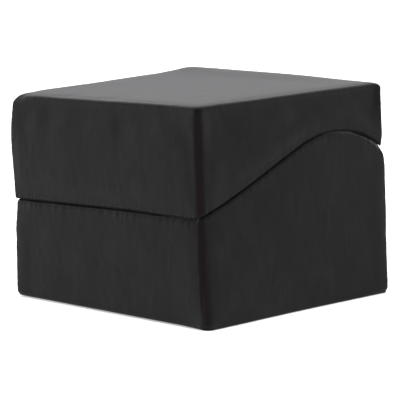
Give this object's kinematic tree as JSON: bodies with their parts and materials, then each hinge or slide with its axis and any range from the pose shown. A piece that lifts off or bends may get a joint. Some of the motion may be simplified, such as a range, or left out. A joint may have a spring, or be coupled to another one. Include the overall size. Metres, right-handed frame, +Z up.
{
  "type": "storage ottoman",
  "caption": "Upholstered storage ottoman: a box seat split by an S-curved line, with a rear-hinged deep lid, slotted lid stays and a lined well.",
  "frame": {"origin": "centre of the footprint, on the floor that the four glides stand on", "axes": "+Z up, the front with the straight part of the split faces -Y, the hinge is at +Y, +X is the right-hand side as seen from the front"},
  "size_m": [0.6, 0.52, 0.445],
  "materials": {
    "cover_fabric": "matte",
    "lining_fabric": "matte",
    "foam": "matte",
    "plywood": "satin",
    "zinc_steel": "satin",
    "screw_steel": "satin",
    "glide_plastic": "matte"
  },
  "bodies": {
    "base": {"base_cover": "cover_fabric", "base_front_board": "plywood", "base_front_foam": "foam", "base_left_board": "plywood", "base_left_foam": "foam", "base_rear_board": "plywood", "base_rear_foam": "foam", "base_right_board": "plywood", "base_right_foam": "foam", "base_rim_foam": "foam", "dust_cover": "lining_fabric", "floor_cleat_left": "plywood", "floor_cleat_right": "plywood", "glide_front_left": "glide_plastic", "glide_front_right": "glide_plastic", "glide_rear_left": "glide_plastic", "glide_rear_right": "glide_plastic", "hinge_leaf_base": "zinc_steel", "hinge_pin": "zinc_steel", "hinge_screw_base_1": "screw_steel", "hinge_screw_base_2": "screw_steel", "hinge_screw_base_3": "screw_steel", "stay_stud_plate_left": "zinc_steel", "stay_stud_plate_right": "zinc_steel", "storage_floor_board": "plywood", "storage_lining": "lining_fabric", "stud_plate_screw_left_1": "screw_steel", "stud_plate_screw_left_2": "screw_steel", "stud_plate_screw_right_1": "screw_steel", "stud_plate_screw_right_2": "screw_steel"},
    "lid": {"hinge_leaf_lid": "zinc_steel", "hinge_screw_lid_1": "screw_steel", "hinge_screw_lid_2": "screw_steel", "hinge_screw_lid_3": "screw_steel", "lid_bent_panel": "plywood", "lid_cover": "cover_fabric", "lid_front_foam": "foam", "lid_front_rail": "plywood", "lid_left_foam": "foam", "lid_left_rib": "plywood", "lid_lining": "lining_fabric", "lid_rear_foam": "foam", "lid_rear_rail": "plywood", "lid_right_foam": "foam", "lid_right_rib": "plywood", "lid_stay_rib_left": "plywood", "lid_stay_rib_right": "plywood", "lid_top_board": "plywood", "lid_wadding": "foam", "seat_foam": "foam", "stay_bracket_left": "zinc_steel", "stay_bracket_right": "zinc_steel", "stay_bracket_screw_left_1": "screw_steel", "stay_bracket_screw_left_2": "screw_steel", "stay_bracket_screw_right_1": "screw_steel", "stay_bracket_screw_right_2": "screw_steel", "stay_rivet_left": "zinc_steel", "stay_rivet_right": "zinc_steel"},
    "stay_left": {"stay_arm_left": "zinc_steel"},
    "stay_right": {"stay_arm_right": "zinc_steel"}
  },
  "joints": [
    {"name": "lid_hinge", "type": "hinge", "parent": "base", "child": "lid", "pos_m": [0, 0.255, 0.3171], "axis": [-1, 0, 0], "range_deg": [0, 95]},
    {"name": "stay_left_pivot", "type": "hinge", "parent": "lid", "child": "stay_left", "pos_m": [-0.2608, 0.10736, 0.33002], "axis": [-1, 0, 0], "range_deg": [-47.5, 0]},
    {"name": "stay_right_pivot", "type": "hinge", "parent": "lid", "child": "stay_right", "pos_m": [0.2608, 0.10736, 0.33002], "axis": [-1, 0, 0], "range_deg": [-47.5, 0]}
  ],
  "couplings": [
    {"joint": "stay_left_pivot", "follows": "lid_hinge", "ratio": -0.5},
    {"joint": "stay_right_pivot", "follows": "lid_hinge", "ratio": -0.5}
  ]
}
